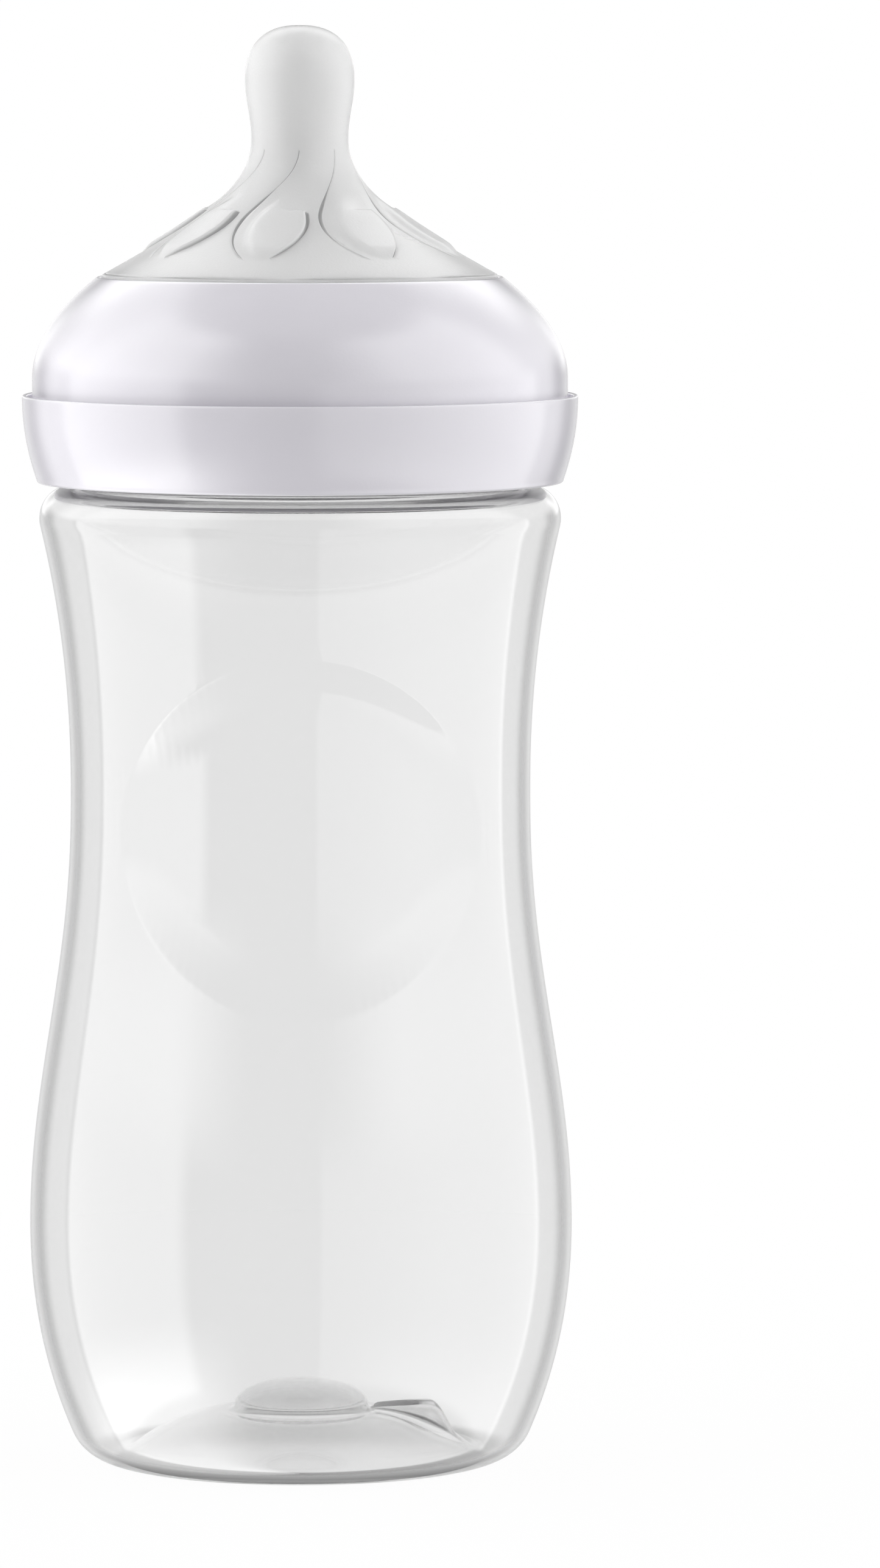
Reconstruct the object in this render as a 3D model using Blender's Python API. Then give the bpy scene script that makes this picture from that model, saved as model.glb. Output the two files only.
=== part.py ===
"""Feeding bottle in three pieces: a clear bottle, a screw ring and a soft teat.

The bottle stands on the XY plane with its axis on Z, and its round grip recess faces -Y.
The ring and the teat are placed by the height of the bottle's rim. All sizes are in metres.
"""

import math

import bmesh
import bpy

# Body of the bottle: each height is counted from the one before it
BELLY_RADIUS = 0.0343
BELLY_HEIGHT = 0.0300
WAIST_RADIUS = 0.0290
WAIST_ABOVE_BELLY = 0.0554
WAIST_EASE = 1.19
SHOULDER_STEP = 0.00614
SHOULDER_ABOVE_WAIST = 0.0330
SHOULDER_EASE = 2.1
SHOULDER_CORNER = 0.0042
BODY_WALL = 0.0011

# Base of the bottle: standing ring, pushed-up floor, centre button and index lug
FOOT_INSET = 0.0107
FOOT_WIDTH = 0.0016
HEEL_RADIUS = 0.0059
HEEL_SWEEP = math.radians(66.5)
FLOOR_WALL = 0.0018
FLOOR_RISE = 0.0044
BUTTON_RADIUS = 0.0086
BUTTON_WALL = 0.0017
BUTTON_RISE = 0.0038
LUG_LENGTH = 0.0115
LUG_WIDTH = 0.0080
LUG_TAPER = 0.65
LUG_HEIGHT = 0.0031
LUG_BLEND = 0.0022

# Round grip recess on the front of the waist
RECESS_RADIUS = 0.0224
RECESS_DEPTH = 0.0015
RECESS_BELOW_WAIST = 0.0044
RECESS_BLEND = 0.0063

# Neck and its right-hand thread, which the ring's sleeve shares
NECK_RADIUS = 0.0266
NECK_HEIGHT = 0.0211
NECK_WALL = 0.0017
THREAD_PITCH = 0.0050
THREAD_DEPTH = 0.0013
THREAD_ROOT = 0.0022
THREAD_CREST = 0.0012
THREAD_CLEARANCE = 0.0004
THREAD_BELOW_RIM = 0.0057
THREAD_SINK = 0.0005
THREAD_FADE = 0.12
NECK_THREAD_TURNS = 1.5
RING_THREAD_TURNS = 1.0
RING_THREAD_LEAD = 0.25

# Screw ring: threaded sleeve, open gap, outer skirt with a domed top, and a collar
CLEARANCE = 0.0003
SLEEVE_WALL = 0.0019
SLEEVE_ABOVE_SHOULDER = 0.0024
SKIRT_GAP = 0.0014
SKIRT_WALL = 0.0021
DOME_WALL = 0.0018
DOME_SLOPE = 0.78
DOME_FOOT = 0.0022
TROUGH_WIDTH = 0.0007
TROUGH_DEPTH = 0.0020
COLLAR_LIP = 0.0006
COLLAR_HEIGHT = 0.0110
COLLAR_TAPER = 0.0018
COLLAR_EASE = 2.05
COLLAR_CORNER = 0.0004
LIP_REACH = 0.0031
LIP_THICKNESS = 0.0018

# Teat: flange on the rim, groove for the ring's lip, brim, trumpet, stem, bulb and tip
FLANGE_THICKNESS = 0.0015
BRIM_REACH = 0.0014
BRIM_EDGE = 0.0011
BRIM_SLOPE = 0.5556
TRUMPET_HEIGHT = 0.0172
TRUMPET_BRIM_PULL = 0.0159
TRUMPET_STEM_PULL = 0.0058
STEM_RADIUS = 0.0061
BULB_RADIUS = 0.00688
BULB_ABOVE_STEM = 0.0072
TIP_HEIGHT = 0.0069
TIP_ROUNDNESS = 2.4
TIP_HOLE_RADIUS = 0.0005
TEAT_WALL = 0.0018
PETAL_COUNT = 8
PETAL_RISE = 0.0009
PETAL_LEAN = math.radians(24.0)
PETAL_TURN = math.radians(-16.0)
PETAL_MARGIN = 0.0008

# Plastics: colour, roughness and how much light passes through
BOTTLE_COLOUR = (0.93, 0.94, 0.95)
BOTTLE_ROUGHNESS = 0.05
BOTTLE_CLEARNESS = 1.0
RING_COLOUR = (0.88, 0.88, 0.90)
RING_ROUGHNESS = 0.2
RING_CLEARNESS = 0.0
TEAT_COLOUR = (0.90, 0.91, 0.91)
TEAT_ROUGHNESS = 0.35
TEAT_CLEARNESS = 0.3

# Fineness of the facets
SEGMENTS = 40
FORM_CUT_COUNT = 2
WELD = 0.000001
SMOOTH_ANGLE = math.radians(35.0)
HALF_FACET = 0.5 / SEGMENTS

# Places that follow from the sizes above
FOOT_RADIUS = BELLY_RADIUS - FOOT_INSET
FLOOR_RADIUS = FOOT_RADIUS - FOOT_WIDTH
BUTTON_HOLLOW = BUTTON_RADIUS - BUTTON_WALL
WAIST_HEIGHT = BELLY_HEIGHT + WAIST_ABOVE_BELLY
SHOULDER_RADIUS = NECK_RADIUS + SHOULDER_STEP
SHOULDER_HEIGHT = WAIST_HEIGHT + SHOULDER_ABOVE_WAIST
SHOULDER_LEAN = math.atan2(SHOULDER_EASE * (SHOULDER_RADIUS - WAIST_RADIUS), SHOULDER_ABOVE_WAIST)
CORNER_RADIUS = SHOULDER_RADIUS - SHOULDER_CORNER * math.cos(SHOULDER_LEAN)
CORNER_HEIGHT = SHOULDER_HEIGHT + SHOULDER_CORNER * math.sin(SHOULDER_LEAN)
LEDGE_HEIGHT = CORNER_HEIGHT + SHOULDER_CORNER
RIM_HEIGHT = LEDGE_HEIGHT + NECK_HEIGHT
SLEEVE_RADIUS = NECK_RADIUS + THREAD_DEPTH + THREAD_CLEARANCE
FLANGE_TOP = CLEARANCE + FLANGE_THICKNESS
LIP_UNDERSIDE = FLANGE_TOP + CLEARANCE
LIP_TOP = LIP_UNDERSIDE + LIP_THICKNESS
LIP_RADIUS = NECK_RADIUS - LIP_REACH
BRIM_RADIUS = LIP_RADIUS + BRIM_REACH
BRIM_UNDERSIDE = LIP_TOP + CLEARANCE
BRIM_TOP = BRIM_UNDERSIDE + BRIM_EDGE
GROOVE_RADIUS = LIP_RADIUS - CLEARANCE
TEAT_BORE = GROOVE_RADIUS - TEAT_WALL


def arc(centre, radius, start, end, steps):
    """Points on an arc in the profile plane, with angles counted from the outward axis."""
    points = []
    for step in range(steps + 1):
        angle = start + (end - start) * step / steps
        points.append((centre[0] + radius * math.cos(angle), centre[1] + radius * math.sin(angle)))
    return points


def bezier(controls, steps):
    """Points on the Bezier curve of any number of control points."""
    points = []
    for step in range(steps + 1):
        share = step / steps
        level = controls
        while len(level) > 1:
            pairs = zip(level, level[1:])
            level = [(a[0] + (b[0] - a[0]) * share, a[1] + (b[1] - a[1]) * share) for a, b in pairs]
        points.append(level[0])
    return points


def inset(points, wall):
    """The same curve, moved by one wall to the right of its direction."""
    moved = []
    for index, (radius, height) in enumerate(points):
        before = points[max(index - 1, 0)]
        after = points[min(index + 1, len(points) - 1)]
        run = (after[0] - before[0], after[1] - before[1])
        length = math.hypot(*run)
        moved.append((radius + wall * run[1] / length, height - wall * run[0] / length))
    return moved


def height_at(points, radius):
    """Height of a curve where it passes a radius."""
    for low, high in zip(points, points[1:]):
        if min(low[0], high[0]) <= radius <= max(low[0], high[0]):
            share = (radius - low[0]) / (high[0] - low[0])
            return low[1] + (high[1] - low[1]) * share
    return points[-1][1]


def smooth_step(value):
    """Ease from 0 to 1 as the value goes from 0 to 1."""
    value = min(max(value, 0.0), 1.0)
    return value * value * (3.0 - 2.0 * value)


def turned(profile, closed):
    """Turn a profile of (radius, height) pairs about Z."""
    bm = bmesh.new()
    verts = [bm.verts.new((radius, 0.0, height)) for radius, height in profile]
    pairs = list(zip(verts, verts[1:]))
    if closed:
        pairs.append((verts[-1], verts[0]))
    edges = [bm.edges.new(pair) for pair in pairs]
    bmesh.ops.spin(
        bm,
        geom=verts + edges,
        cent=(0.0, 0.0, 0.0),
        axis=(0.0, 0.0, 1.0),
        angle=math.tau,
        steps=SEGMENTS,
        use_merge=True,
    )
    bmesh.ops.remove_doubles(bm, verts=bm.verts, dist=WELD)
    bmesh.ops.recalc_face_normals(bm, faces=bm.faces)
    return bm


def add_object(name, bm, height):
    """Make a smooth-shaded object from a mesh, with its origin on the bottle's axis."""
    mesh = bpy.data.meshes.new(name)
    bm.to_mesh(mesh)
    bm.free()
    mesh.shade_smooth()
    mesh.set_sharp_from_angle(angle=SMOOTH_ANGLE)
    piece = bpy.data.objects.new(name, mesh)
    piece.location.z = height
    bpy.context.scene.collection.objects.link(piece)
    return piece


def add_material(piece, colour, roughness, transmission):
    """Give a piece its own plastic, clear where light is transmitted."""
    material = bpy.data.materials.new(piece.name)
    material.use_nodes = True
    shader = material.node_tree.nodes["Principled BSDF"]
    shader.inputs["Base Color"].default_value = (*colour, 1.0)
    shader.inputs["Roughness"].default_value = roughness
    shader.inputs["Metallic"].default_value = 0.0
    shader.inputs["Transmission Weight"].default_value = transmission
    piece.data.materials.append(material)


def thread_ridge(wall_radius, outward, height, lead, turns):
    """Trapezoid ridge on a right-hand helix, with both ends faded into the wall."""
    bm = bmesh.new()
    steps = round(turns * SEGMENTS)
    sections = []
    for step in range(steps + 1):
        turn = turns * step / steps
        fade = smooth_step(min(turn, turns - turn) / THREAD_FADE)
        crest = wall_radius + outward * (THREAD_DEPTH * fade - THREAD_SINK * (1.0 - fade) / 2)
        root = wall_radius - outward * THREAD_SINK
        centre = height + THREAD_PITCH * turn
        angle = math.tau * (lead + turn + HALF_FACET)
        corners = (
            (root, centre - THREAD_ROOT / 2),
            (crest, centre - THREAD_CREST / 2),
            (crest, centre + THREAD_CREST / 2),
            (root, centre + THREAD_ROOT / 2),
        )
        places = [(r * math.cos(angle), r * math.sin(angle), z) for r, z in corners]
        sections.append([bm.verts.new(place) for place in places])
    for near, far in zip(sections, sections[1:]):
        for corner in range(len(near)):
            after = (corner + 1) % len(near)
            bm.faces.new((near[corner], near[after], far[after], far[corner]))
    bm.faces.new(sections[0])
    bm.faces.new(sections[-1])
    bmesh.ops.recalc_face_normals(bm, faces=bm.faces)
    return bm


def join_thread(piece, ridge):
    """Unite a piece with its thread ridge, which itself stays hidden, and split the joined faces."""
    ridge.hide_render = True
    ridge.display_type = "WIRE"
    union = piece.modifiers.new("thread", "BOOLEAN")
    union.operation = "UNION"
    union.solver = "EXACT"
    union.object = ridge
    split = piece.modifiers.new("facets", "TRIANGULATE")
    split.ngon_method = "BEAUTY"


def floor_height(radius):
    """Height of the underside of the pushed-up floor beside its button."""
    share = (radius - BUTTON_HOLLOW) / (FLOOR_RADIUS - BUTTON_HOLLOW)
    return FLOOR_RISE * (1.0 - share * share)


def floor_line(button_radius, wall):
    """One face of the floor, a wall above its underside, from the axis out to the standing ring."""
    button_steps = 4
    floor_steps = 5
    points = []
    for step in range(button_steps):
        angle = math.pi / 2 * step / button_steps
        height = FLOOR_RISE + BUTTON_RISE * math.cos(angle)
        points.append((button_radius * math.sin(angle), height + wall))
    for step in range(floor_steps + 1):
        radius = button_radius + (FLOOR_RADIUS - button_radius) * step / floor_steps
        points.append((radius, floor_height(radius) + wall))
    return points


def side_line():
    """Outer wall from the heel's foot up to the shoulder's ledge, in one smooth run."""
    heel_steps = 4
    lower_steps = 4
    waist_steps = 8
    shoulder_steps = 5
    corner_steps = 4
    heel_end = HEEL_SWEEP - math.pi / 2
    heel = arc((FOOT_RADIUS, HEEL_RADIUS), HEEL_RADIUS, -math.pi / 2, heel_end, heel_steps)
    toe = heel[-1]
    crossing = toe[1] + (BELLY_RADIUS - toe[0]) * math.cos(heel_end) / -math.sin(heel_end)
    lower = bezier([toe, (BELLY_RADIUS, crossing), (BELLY_RADIUS, BELLY_HEIGHT)], lower_steps)
    points = heel + lower[1:]
    for step in range(1, waist_steps + 1):
        share = step / waist_steps
        fall = (0.5 + 0.5 * math.cos(math.pi * share)) ** WAIST_EASE
        radius = WAIST_RADIUS + (BELLY_RADIUS - WAIST_RADIUS) * fall
        points.append((radius, BELLY_HEIGHT + WAIST_ABOVE_BELLY * share))
    for step in range(1, shoulder_steps + 1):
        share = step / shoulder_steps
        radius = WAIST_RADIUS + (SHOULDER_RADIUS - WAIST_RADIUS) * share**SHOULDER_EASE
        points.append((radius, WAIST_HEIGHT + SHOULDER_ABOVE_WAIST * share))
    corner = arc((CORNER_RADIUS, CORNER_HEIGHT), SHOULDER_CORNER, -SHOULDER_LEAN, math.pi / 2, corner_steps)
    return points + corner[1:]


def refine(bm, faces):
    """Divide some faces more finely, so that a small form can be shaped in them."""
    edges = list({edge for face in faces for edge in face.edges})
    bmesh.ops.subdivide_edges(bm, edges=edges, cuts=FORM_CUT_COUNT, use_grid_fill=True)


def press_recess(bm):
    """Press the round grip recess into both faces of the front wall."""
    middle = WAIST_HEIGHT - RECESS_BELOW_WAIST
    front = []
    for face in bm.faces:
        centre = face.calc_center_median()
        if centre.y < 0.0 and math.hypot(centre.x, centre.z - middle) < RECESS_RADIUS:
            front.append(face)
    refine(bm, front)
    for vert in bm.verts:
        radius = math.hypot(vert.co.x, vert.co.y)
        reach = math.hypot(vert.co.x, vert.co.z - middle)
        if vert.co.y > 0.0 or reach > RECESS_RADIUS:
            continue
        to_floor = 1.0 - min((RECESS_RADIUS - reach) / RECESS_BLEND, 1.0)
        scale = 1.0 - RECESS_DEPTH * (1.0 - to_floor * to_floor) / radius
        vert.co.x *= scale
        vert.co.y *= scale


def raise_lug(bm):
    """Raise the index lug in the floor, at +X of the button."""
    lug_end = BUTTON_RADIUS + LUG_LENGTH
    top = FLOOR_RISE + LUG_HEIGHT
    footprint = []
    for face in bm.faces:
        centre = face.calc_center_median()
        if BUTTON_RADIUS - LUG_BLEND < centre.x < lug_end and abs(centre.y) < LUG_WIDTH / 2:
            footprint.append(face)
    refine(bm, footprint)
    for vert in bm.verts:
        radius = math.hypot(vert.co.x, vert.co.y)
        if vert.co.x < 0.0 or radius < BUTTON_RADIUS - WELD or radius > lug_end:
            continue
        widening = smooth_step((radius - BUTTON_RADIUS) / LUG_LENGTH)
        half_width = LUG_WIDTH / 2 * (LUG_TAPER + (1.0 - LUG_TAPER) * widening)
        across = smooth_step((half_width - abs(vert.co.y)) / LUG_BLEND)
        along = smooth_step((lug_end - radius) / LUG_BLEND)
        lift = top - FLOOR_WALL - floor_height(radius)
        vert.co.z += max(lift, 0.0) * across * along


def make_bottle():
    """Clear bottle: floor, side wall, shoulder and threaded neck around one hollow."""
    floor = floor_line(BUTTON_HOLLOW, 0.0)
    side = side_line()
    inner_side = inset(side[::-1], BODY_WALL)
    neck_bore = NECK_RADIUS - NECK_WALL
    neck = [
        (NECK_RADIUS, LEDGE_HEIGHT),
        (NECK_RADIUS, RIM_HEIGHT),
        (neck_bore, RIM_HEIGHT),
        (neck_bore, LEDGE_HEIGHT - BODY_WALL),
    ]
    inner_floor = floor_line(BUTTON_RADIUS, FLOOR_WALL)
    bm = turned(floor + side + neck + inner_side + inner_floor[::-1], closed=False)
    press_recess(bm)
    raise_lug(bm)
    bottle = add_object("bottle", bm, 0.0)
    add_material(bottle, BOTTLE_COLOUR, BOTTLE_ROUGHNESS, BOTTLE_CLEARNESS)
    thread_start = RIM_HEIGHT - THREAD_BELOW_RIM - THREAD_PITCH * NECK_THREAD_TURNS
    ridge = thread_ridge(NECK_RADIUS, 1.0, thread_start, 0.0, NECK_THREAD_TURNS)
    join_thread(bottle, add_object("neck_thread", ridge, 0.0))
    return bottle


def make_ring():
    """Screw ring, with heights counted from the bottle's rim."""
    dome_steps = 9
    collar_steps = 5
    corner_steps = 2
    sleeve_outside = SLEEVE_RADIUS + SLEEVE_WALL
    skirt_inside = sleeve_outside + SKIRT_GAP
    dome_radius = skirt_inside + SKIRT_WALL
    collar_bottom = CLEARANCE - NECK_HEIGHT
    collar_top = collar_bottom + COLLAR_HEIGHT
    lip_inside = dome_radius + TROUGH_WIDTH
    collar_radius = lip_inside + COLLAR_LIP
    dome_start = (BRIM_RADIUS + CLEARANCE, BRIM_TOP)
    dome_end = (dome_radius, collar_top + DOME_FOOT)
    dome_crossing = dome_start[1] - DOME_SLOPE * (dome_radius - dome_start[0])
    dome = bezier([dome_start, (dome_radius, dome_crossing), dome_end], dome_steps)
    vault = inset(dome, DOME_WALL)
    collar = []
    for step in range(collar_steps):
        share = step / collar_steps
        radius = collar_radius - COLLAR_TAPER * share**COLLAR_EASE
        collar.append((radius, collar_top - (COLLAR_HEIGHT - COLLAR_CORNER) * share))
    corner_centre = (collar_radius - COLLAR_TAPER - COLLAR_CORNER, collar_bottom + COLLAR_CORNER)
    corner = arc(corner_centre, COLLAR_CORNER, 0.0, -math.pi / 2, corner_steps)
    trough = [
        (dome_radius, collar_top - TROUGH_DEPTH),
        (lip_inside, collar_top - TROUGH_DEPTH),
        (lip_inside, collar_top),
    ]
    sleeve_bottom = SLEEVE_ABOVE_SHOULDER - NECK_HEIGHT
    inside = [
        (skirt_inside, collar_bottom),
        (skirt_inside, height_at(vault, skirt_inside)),
        (sleeve_outside, height_at(vault, sleeve_outside)),
        (sleeve_outside, sleeve_bottom),
        (SLEEVE_RADIUS, sleeve_bottom),
        (SLEEVE_RADIUS, height_at(vault, SLEEVE_RADIUS)),
        (NECK_RADIUS + CLEARANCE, LIP_UNDERSIDE),
        (LIP_RADIUS, LIP_UNDERSIDE),
        (LIP_RADIUS, LIP_TOP),
        (BRIM_RADIUS + CLEARANCE, LIP_TOP),
    ]
    bm = turned(dome + trough + collar + corner + inside, closed=True)
    ring = add_object("screw_ring", bm, RIM_HEIGHT)
    add_material(ring, RING_COLOUR, RING_ROUGHNESS, RING_CLEARNESS)
    flank_meeting = THREAD_ROOT - (THREAD_ROOT - THREAD_CREST) / 2 * (1.0 + THREAD_CLEARANCE / THREAD_DEPTH)
    below_neck_thread = flank_meeting + THREAD_CLEARANCE
    turns_below_top = NECK_THREAD_TURNS - RING_THREAD_LEAD
    thread_start = -THREAD_BELOW_RIM - THREAD_PITCH * turns_below_top - below_neck_thread
    ridge = thread_ridge(SLEEVE_RADIUS, -1.0, thread_start, RING_THREAD_LEAD, RING_THREAD_TURNS)
    join_thread(ring, add_object("sleeve_thread", ridge, RIM_HEIGHT))
    return ring


def raise_petals(bm):
    """Raise the ring of leaning petals on the trumpet, and the inside with them."""
    span = TEAT_BORE - PETAL_MARGIN - STEM_RADIUS
    for vert in bm.verts:
        share = (math.hypot(vert.co.x, vert.co.y) - STEM_RADIUS) / span
        if share <= 0.0 or share >= 1.0:
            continue
        angle = math.atan2(vert.co.x, -vert.co.y) - PETAL_TURN - PETAL_LEAN * (1.0 - share)
        wave = 0.5 + 0.5 * math.cos(PETAL_COUNT * angle)
        vert.co.z += PETAL_RISE * wave * math.sin(math.pi * share * share)


def make_teat():
    """Soft teat, with heights counted from the bottle's rim."""
    tip_steps = 6
    bulb_steps = 4
    trumpet_steps = 13
    stem_height = BRIM_TOP + TRUMPET_HEIGHT
    bulb_height = stem_height + BULB_ABOVE_STEM
    power = 2.0 / TIP_ROUNDNESS
    hole_angle = math.asin((TIP_HOLE_RADIUS / BULB_RADIUS) ** (1.0 / power))
    outside = []
    for step in range(tip_steps + 1):
        angle = hole_angle + (math.pi / 2 - hole_angle) * step / tip_steps
        rise = max(math.cos(angle), 0.0) ** power
        outside.append((BULB_RADIUS * math.sin(angle) ** power, bulb_height + TIP_HEIGHT * rise))
    for step in range(1, bulb_steps + 1):
        share = step / bulb_steps
        radius = STEM_RADIUS + (BULB_RADIUS - STEM_RADIUS) * (0.5 + 0.5 * math.cos(math.pi * share))
        outside.append((radius, bulb_height - BULB_ABOVE_STEM * share))
    brim_pull = TRUMPET_BRIM_PULL / math.hypot(1.0, BRIM_SLOPE)
    trumpet = bezier(
        [
            (STEM_RADIUS, stem_height),
            (STEM_RADIUS, stem_height - TRUMPET_STEM_PULL),
            (BRIM_RADIUS - brim_pull, BRIM_TOP + brim_pull * BRIM_SLOPE),
            (BRIM_RADIUS, BRIM_TOP),
        ],
        trumpet_steps,
    )
    outside += trumpet[1:]
    seat = [
        (BRIM_RADIUS, BRIM_UNDERSIDE),
        (GROOVE_RADIUS, BRIM_UNDERSIDE),
        (GROOVE_RADIUS, FLANGE_TOP),
        (NECK_RADIUS, FLANGE_TOP),
        (NECK_RADIUS, CLEARANCE),
        (TEAT_BORE, CLEARANCE),
    ]
    lining = inset(outside, TEAT_WALL)
    lining[0] = (TIP_HOLE_RADIUS, lining[0][1])
    inside = [point for point in lining if point[0] < TEAT_BORE - WELD]
    inside.append((TEAT_BORE, height_at(lining, TEAT_BORE)))
    bm = turned(outside + seat + inside[::-1], closed=True)
    raise_petals(bm)
    teat = add_object("teat", bm, RIM_HEIGHT)
    add_material(teat, TEAT_COLOUR, TEAT_ROUGHNESS, TEAT_CLEARNESS)
    return teat


def clear_scene():
    """Start from an empty scene."""
    for old in list(bpy.data.objects):
        bpy.data.objects.remove(old, do_unlink=True)


clear_scene()
assembly = bpy.data.objects.new("feeding_bottle", None)
bpy.context.scene.collection.objects.link(assembly)
for made in (make_bottle(), make_ring(), make_teat()):
    made.parent = assembly
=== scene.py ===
import math

import bmesh
import bpy
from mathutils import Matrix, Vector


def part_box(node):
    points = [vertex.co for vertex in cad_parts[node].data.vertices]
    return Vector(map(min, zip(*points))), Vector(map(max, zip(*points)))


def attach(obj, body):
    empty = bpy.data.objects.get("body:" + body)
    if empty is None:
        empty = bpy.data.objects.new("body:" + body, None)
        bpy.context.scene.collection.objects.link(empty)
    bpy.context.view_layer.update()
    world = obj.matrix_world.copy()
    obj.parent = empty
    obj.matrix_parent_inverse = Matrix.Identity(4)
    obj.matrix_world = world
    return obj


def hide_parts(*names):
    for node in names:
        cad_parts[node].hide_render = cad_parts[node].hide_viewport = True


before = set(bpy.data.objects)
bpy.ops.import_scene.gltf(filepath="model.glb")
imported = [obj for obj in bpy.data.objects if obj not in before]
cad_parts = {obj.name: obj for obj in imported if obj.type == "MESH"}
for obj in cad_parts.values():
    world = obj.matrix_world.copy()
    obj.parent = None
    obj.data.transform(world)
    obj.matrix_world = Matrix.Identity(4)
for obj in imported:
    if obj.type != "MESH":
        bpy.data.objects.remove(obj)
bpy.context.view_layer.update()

# Bottle
# The bottle is one blow-moulded shell of clear plastic with a wall of about 1 mm. It stands on a narrow
# ring round a pushed-up floor, its waist has a round grip recess in front, and its neck has a thread.
bottle_low, bottle_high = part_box("bottle")
RIM_HEIGHT = bottle_high.z
BELLY_RADIUS = bottle_high.x
BELLY_HEIGHT = 0.0300
WAIST_RADIUS = 0.0290
WAIST_HEIGHT = 0.0854
WAIST_EASE = 1.19
NECK_RADIUS = 0.0266
NECK_HEIGHT = 0.0211
NECK_WALL = 0.0017
NECK_FILLET = 0.0006
RIM_ROUND = 0.0005
SHOULDER_RADIUS = 0.03274
SHOULDER_REACH = 0.0330
SHOULDER_EASE = 2.1
SHOULDER_CORNER = 0.0042
BODY_WALL = 0.0011
FOOT_RADIUS = 0.0236
FOOT_WIDTH = 0.0016
HEEL_RADIUS = 0.0059
HEEL_SWEEP = math.radians(66.5)
FLOOR_TOP = 0.0062
BUTTON_RADIUS = 0.0086
BUTTON_RISE = 0.0038
BUTTON_FILLET = 0.0010
BUTTON_ROUNDNESS = 2.3
LUG_LENGTH = 0.0115
LUG_WIDTH = 0.0086
LUG_ROOT_WIDTH = 0.0044
LUG_TOP = 0.0073
LUG_BLEND = 0.0038
LUG_FADE = 0.0010
RECESS_RADIUS = 0.0224
RECESS_MIDDLE = 0.0810
RECESS_DEPTH = 0.0015
RECESS_RAMP = 0.0063
RECESS_MARGIN = 0.0020
RIM_CREASE = 0.025
CREASE_OUTSIDE = 0.0007
CREASE_INSIDE = 0.0009
REFINE_CUTS = 2
THREAD_PITCH = 0.0050
THREAD_DEPTH = 0.0013
THREAD_ROOT = 0.0022
THREAD_CREST = 0.0012
THREAD_FADE = 0.12
NECK_THREAD_TURNS = 1.5
NECK_THREAD_BELOW_RIM = 0.0132
BOTTLE_SEGMENTS = 140
WELD = 0.000001

NECK_THREAD_START = RIM_HEIGHT - NECK_THREAD_BELOW_RIM
LEDGE_HEIGHT = RIM_HEIGHT - NECK_HEIGHT
SHOULDER_LEAN = math.atan2(SHOULDER_EASE * (SHOULDER_RADIUS - WAIST_RADIUS), SHOULDER_REACH)
CORNER_RADIUS = SHOULDER_RADIUS - SHOULDER_CORNER * math.cos(SHOULDER_LEAN)
CORNER_HEIGHT = LEDGE_HEIGHT - SHOULDER_CORNER
FLOOR_RADIUS = FOOT_RADIUS - FOOT_WIDTH


def arc(centre, radius, start, end, steps):
    """Points on an arc in the profile plane, with angles counted from the outward axis."""
    turns = [start + (end - start) * step / steps for step in range(steps + 1)]
    return [(centre[0] + radius * math.cos(turn), centre[1] + radius * math.sin(turn)) for turn in turns]


def between(start, end, steps):
    """Points that divide a straight run, without its two ends."""
    shares = [step / steps for step in range(1, steps)]
    return [(start[0] + (end[0] - start[0]) * s, start[1] + (end[1] - start[1]) * s) for s in shares]


def bezier(controls, share):
    """The point at a share of the way along a Bezier curve."""
    level = controls
    while len(level) > 1:
        pairs = zip(level, level[1:])
        level = [(a[0] + (b[0] - a[0]) * share, a[1] + (b[1] - a[1]) * share) for a, b in pairs]
    return level[0]


def offset(points, wall):
    """The same line, moved by one wall to the right of its direction."""
    moved = []
    for index, (radius, height) in enumerate(points):
        before = points[max(index - 1, 0)]
        after = points[min(index + 1, len(points) - 1)]
        run = (after[0] - before[0], after[1] - before[1])
        length = math.hypot(*run)
        moved.append((radius + wall * run[1] / length, height - wall * run[0] / length))
    return moved


def fillet(before, corner, after, radius, steps=4):
    """Round one corner of a profile with a curve that touches both of its sides."""
    sides = []
    for end in (before, after):
        run = (end[0] - corner[0], end[1] - corner[1])
        length = math.hypot(*run)
        sides.append((run[0] / length, run[1] / length))
    half = math.acos(sides[0][0] * sides[1][0] + sides[0][1] * sides[1][1]) / 2
    reach = radius / math.tan(half)
    ends = [(corner[0] + side[0] * reach, corner[1] + side[1] * reach) for side in sides]
    return [bezier([ends[0], corner, ends[1]], step / steps) for step in range(steps + 1)]


def ease(value):
    """Ease from 0 to 1 as the value goes from 0 to 1."""
    value = min(max(value, 0.0), 1.0)
    return value * value * (3.0 - 2.0 * value)


def turned(profile, closed, segments):
    """Turn a profile of (radius, height) pairs about the bottle's axis."""
    bm = bmesh.new()
    verts = [bm.verts.new((radius, 0.0, height)) for radius, height in profile]
    pairs = list(zip(verts, verts[1:]))
    if closed:
        pairs.append((verts[-1], verts[0]))
    edges = [bm.edges.new(pair) for pair in pairs]
    bmesh.ops.spin(
        bm,
        geom=verts + edges,
        cent=(0.0, 0.0, 0.0),
        axis=(0.0, 0.0, 1.0),
        angle=math.tau,
        steps=segments,
        use_merge=True,
    )
    bmesh.ops.remove_doubles(bm, verts=bm.verts, dist=WELD)
    bmesh.ops.recalc_face_normals(bm, faces=bm.faces)
    bm.normal_update()
    return bm


def finished_piece(name, bm, material, node):
    """Make a smooth-shaded object that stands for a CAD node and rides on the body of its name."""
    mesh = bpy.data.meshes.new(name)
    bm.to_mesh(mesh)
    bm.free()
    mesh.shade_smooth()
    mesh.materials.append(material)
    piece = bpy.data.objects.new(name, mesh)
    bpy.context.scene.collection.objects.link(piece)
    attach(piece, node)
    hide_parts(node)


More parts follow.
